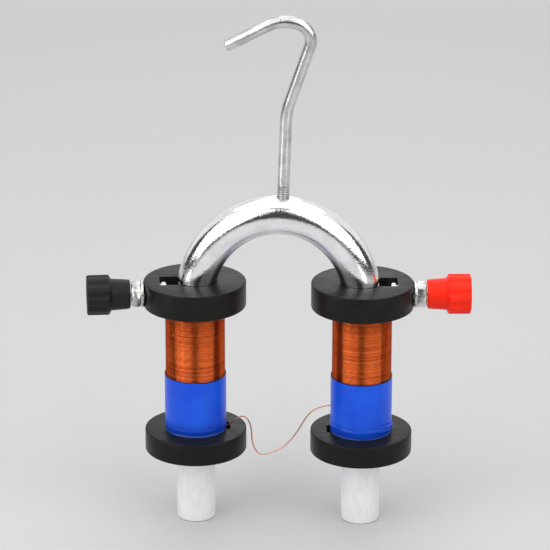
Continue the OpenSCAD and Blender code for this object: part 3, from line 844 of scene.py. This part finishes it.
def makeCap():
    start, chamfer, taper, mouth = (cap[k] for k in ("start", "chamfer", "taper", "mouth"))
    ease, soft, neckRows, gripRows = (cap[k] for k in ("ease", "soft", "neckRows", "gripRows"))
    neck, neckLength = cap["neck"]
    grip, gripLength = cap["grip"]
    bore, boreDepth = cap["bore"]
    shoulder, end, inmost = start + neckLength, start + neckLength + gripLength, start + boreDepth
    slim, face = neck - taper, shoulder + chamfer
    angles = [math.radians(90 * i / cap["arcSteps"]) for i in range(cap["arcSteps"] + 1)]
    arc = [(math.sin(angle), 1 - math.cos(angle)) for angle in angles]
    rings = [(bore, start), (slim - chamfer, start)]
    rings += [(slim - chamfer + chamfer * out, start + chamfer * up) for out, up in arc[1:]]
    rings += [(slim + taper * k / neckRows, start + neckLength * k / neckRows) for k in range(1, neckRows)]
    rings += [(neck, shoulder - soft), (neck + soft, shoulder)]
    rings += [(grip - ease, face - soft), (grip, face + soft / 2)]
    rings += [(grip, face + (gripLength - 2 * chamfer) * k / gripRows) for k in range(1, gripRows)]
    rings += [(grip - chamfer * up, end - chamfer + chamfer * out) for out, up in arc]
    rings += [(mouth + ease, end), (mouth, end - ease), (mouth, inmost), (bore, inmost)]
    piece = turned("cap", rings, cap["sides"])
    far = grip + cap["fluteRadius"] - cap["fluteDepth"]
    pitch = math.tau / cap["flutes"]
    fadeLow, fadeHigh = cap["fluteFade"]

    def flute(co):
        if math.hypot(co.x, co.y) < neck + 2 * soft or co.z < shoulder:
            return co
        side = (math.atan2(co.y, co.x) - math.radians(cap["fluteTurn"]) + pitch / 2) % pitch - pitch / 2
        inside = cap["fluteRadius"] ** 2 - (far * math.sin(side)) ** 2
        wall = far * math.cos(side) - math.sqrt(inside) if inside > 0 else grip
        wall = (wall + grip - math.sqrt((wall - grip) ** 2 + cap["fluteEdge"] ** 2)) / 2
        size = 1 - (1 - wall / grip) * step(co.z, shoulder + fadeLow, shoulder + fadeHigh)
        return Vector((co.x * size, co.y * size, co.z))

    reshape(piece, flute)
    return close(piece, cap["smooth"])


# Link wire: one bare end of each winding joined across the gap

linkWire = {
    "route": [(-0.0216, 0.0412), (-0.0200, 0.0420), (-0.0180, 0.0436), (-0.0160, 0.0450), (-0.0148, 0.0453),
              (-0.0133, 0.0445), (-0.0120, 0.0422), (-0.0113, 0.0390), (-0.0111, 0.0360), (-0.0106, 0.0327),
              (-0.0092, 0.0296), (-0.0070, 0.0282), (-0.0043, 0.0286), (-0.0014, 0.0296), (0.0016, 0.0313),
              (0.0049, 0.0345), (0.0078, 0.0384), (0.0103, 0.0428), (0.0120, 0.0457), (0.0140, 0.0479),
              (0.0166, 0.0494), (0.0195, 0.0505), (0.0218, 0.0509)],
    "thickness": 0.0006,
}


def tubeCurve(name, spots, radius, curved=False, along=6, around=2):
    curve = bpy.data.curves.new(name, "CURVE")
    curve.dimensions, curve.use_fill_caps = "3D", True
    curve.bevel_depth, curve.bevel_resolution, curve.resolution_u = radius, around, along
    line = curve.splines.new("BEZIER" if curved else "POLY")
    points = line.bezier_points if curved else line.points
    points.add(len(spots) - 1)
    for point, spot in zip(points, spots):
        point.co = spot if curved else (*spot, 1)
        if curved:
            point.handle_left_type = point.handle_right_type = "AUTO"
    piece = bpy.data.objects.new(name, curve)
    bpy.context.scene.collection.objects.link(piece)
    return piece


def makeLinkWire(finish):
    spots = [(x, 0, z) for x, z in linkWire["route"]]
    piece = tubeCurve("linkWire", spots, linkWire["thickness"] / 2, curved=True)
    coat(piece, finish, "left_coil", "link_copper", "link_wire")
    bpy.context.view_layer.update()


# Floor and lights

studio = {
    "floor": (0.58, 0.58, 0.58),
    "floorSize": 30,
    "floorDrop": 0.00005,
    "floorRough": 0.75,
    "floorGloss": 0.2,
    "mottle": 0.4,
    "mottleShade": 0.97,
    "farGlow": (0.24, 0.24, 0.24),        # the far floor's own light, where the lamps don't reach
    "farStart": (0.75, 1.4),
    "air": 0.07,
    "aim": (0, 0, 0.1),
    "panels": [               # name, azimuth, elevation, distance, width, height, brightness, spread
        ("overhead", 0, 90, 1.05, 1.50, 1.30, 1.35, 180),
        ("frontLeft", -48, 33, 1.15, 1.38, 1.06, 1.95, 180),
        ("frontRight", 48.5, 33, 1.15, 1.38, 1.06, 1.70, 180),
        ("backLeft", -146, 31, 1.3, 1.95, 1.56, 0.75, 180),
        ("backRight", 146, 31, 1.3, 1.95, 1.56, 0.75, 180),
        ("stripLeft", -60, -8, 0.384, 0.11, 0.08, 0.20, 60),     # gridded strips draw lines on the rod
        ("stripRight", 39, -8, 0.384, 0.11, 0.08, 0.11, 60),
        ("stripUpper", -48, 12, 0.388, 0.08, 0.075, 0.42, 60),
    ],
}


def makeStudio():
    only()
    bpy.ops.mesh.primitive_plane_add(size=studio["floorSize"], location=(0, 0, -studio["floorDrop"]))
    floor = settle("floor")
    f = Finish("floorPaint")
    place = f.place()
    tint = studio["floor"]
    mottle = f.cloud(place, studio["mottle"], detail=2)
    shade = f.mix(mottle, opaque(tint, studio["mottleShade"]), opaque(tint))
    far = f.between(f.reach(place), *studio["farStart"])
    glow = f.mix(far, opaque((0, 0, 0)), opaque(studio["farGlow"]))
    paint = f.finish(colour=shade, rough=studio["floorRough"], gloss=studio["floorGloss"], glow=glow,
                     glowStrength=1.0)
    floor.data.materials.append(paint)
    for name, azimuth, elevation, distance, width, height, brightness, spread in studio["panels"]:
        away = outward(azimuth, elevation)
        bpy.ops.object.light_add(type="AREA", location=Vector(studio["aim"]) + away * distance)
        lamp = bpy.context.active_object
        lamp.name = name
        lamp.rotation_euler = (-away).to_track_quat("-Z", "Y").to_euler()
        lamp.data.shape, lamp.data.size, lamp.data.size_y = "RECTANGLE", width, height
        lamp.data.energy = math.pi * brightness * width * height
        lamp.data.spread = math.radians(spread)
        lamp.visible_camera = False       # lamps show in reflections only
    world = bpy.data.worlds.new("studioAir")
    world.use_nodes = True
    sky = world.node_tree.nodes["Background"]
    sky.inputs["Color"].default_value = opaque((1, 1, 1))
    sky.inputs["Strength"].default_value = studio["air"]
    bpy.context.scene.world = world
    bpy.context.scene.view_settings.view_transform = "Standard"


# Everything in order: camera and wire first

addCamera()
linkFinish = copperFinish("bareCopper", tint=(0.80, 0.42, 0.30), dark=(0.55, 0.26, 0.17), rough=0.22)
makeLinkWire(linkFinish)
print("camera and link wire done")

chrome = coreFinish("brightPlate", tint=(0.95, 0.955, 0.965), rough=0.010, grain=1.1, blot=0.3)
zinc = platedFinish("hookPlate", tint=(0.68, 0.68, 0.677), rough=0.15, grain=1.6, blot=0.7)
nickel = platedFinish("nickelPlate", tint=(0.77, 0.765, 0.75), rough=0.16, grain=1.6, blot=0.9)
brass = platedFinish("turnedBrass", tint=(0.76, 0.56, 0.22), rough=0.18, grain=0.6, blot=0.4)
blackPlastic = plasticFinish("blackMoulding", tint=(0.0090, 0.0089, 0.0085), dust=(0.16, 0.155, 0.15),
                             rough=0.24, gloss=0.13, scuffs=0.16)
blackCap = plasticFinish("blackCap", tint=(0.0090, 0.0088, 0.0085), dust=(0.30, 0.30, 0.29),
                         rough=0.36, gloss=0.22)
redCap = plasticFinish("redCap", tint=(0.82, 0.018, 0.004), dust=(0.85, 0.16, 0.12), rough=0.36, gloss=0.18)
enamel = copperFinish("enamelledCopper", tint=(0.79, 0.168, 0.036), dark=(0.53, 0.086, 0.017), rough=0.11,
                      edge=(0.30, 0.16, 0.10), lacquer=0.14)
bluePvc = tapeFinish("bluePvcTape")
board = cardFinish("formerBoard")
print("finishes done")

coat(makeCore(), chrome, "core", "chrome", "horseshoe_core")
print("core done")
coat(makeHook(), zinc, "hook", "hook_chrome", "suspension_hook")
print("hook done")

turns = bothSides(makeOuterLayer(), "OuterTurns", flip=True)
layers = bothSides(makeInnerLayers(), "InnerLayers", flip=True)
lowerFlanges = bothSides(makeLowerFlange(), "LowerFlange", flip=True)
topFlanges = bothSides(makeTopFlange(), "TopFlange", flip=True)
print("windings and flanges done")

shafts = bothSides(makeShaft(), "Shaft")
collars = bothSides(hexBlock("collar", post["collarFlats"], *post["collar"]), "Collar")
washers = bothSides(makeWasher(), "Washer")
nuts = bothSides(makeNut(), "Nut")
caps = bothSides(makeCap(), "Cap")
print("terminals done")

capLooks = {"left": (blackCap, "black_cap"), "right": (redCap, "red_cap")}
for side in ("right", "left"):
    coil = side + "_coil"
    coat(toLeg(turns[side], side), enamel, coil, "enamelled_copper", side + "_winding_outer_layer")
    coat(toLeg(layers[side], side), enamel, coil, "enamelled_copper", side + "_winding")
    coat(makeTape(side + "Tape", side), bluePvc, coil, "blue_tape", side + "_tape")
    coat(toLeg(lowerFlanges[side], side), blackPlastic, coil, "black_plastic", side + "_lower_flange")
    relieve(topFlanges[side], side)
    coat(toLeg(topFlanges[side], side), blackPlastic, coil, "black_plastic", side + "_top_flange")
    coat(makeStud(shafts[side], collars[side], side), nickel, coil, "nickel", side + "_post_stud")
    coat(toPost(washers[side], side), nickel, coil, "nickel", side + "_post_washer")
    turnTo(nuts[side], (0, 0, math.radians(post["nutTurn"][side])))
    coat(toPost(nuts[side], side), nickel, coil, "nickel", side + "_post_nut")
    capFinish, capSlot = capLooks[side]
    coat(toPost(caps[side], side), capFinish, side + "_cap", capSlot, side + "_post_cap")
    for node, finish in (("_former_tube", board), ("_solder_tag", nickel), ("_cap_sleeve", brass)):
        kept = nodes[side + node]
        kept.data.materials.clear()
        kept.data.materials.append(finish)
    print(side, "coil and terminal done")

makeStudio()
print("studio done")

only()
bpy.context.view_layer.update()
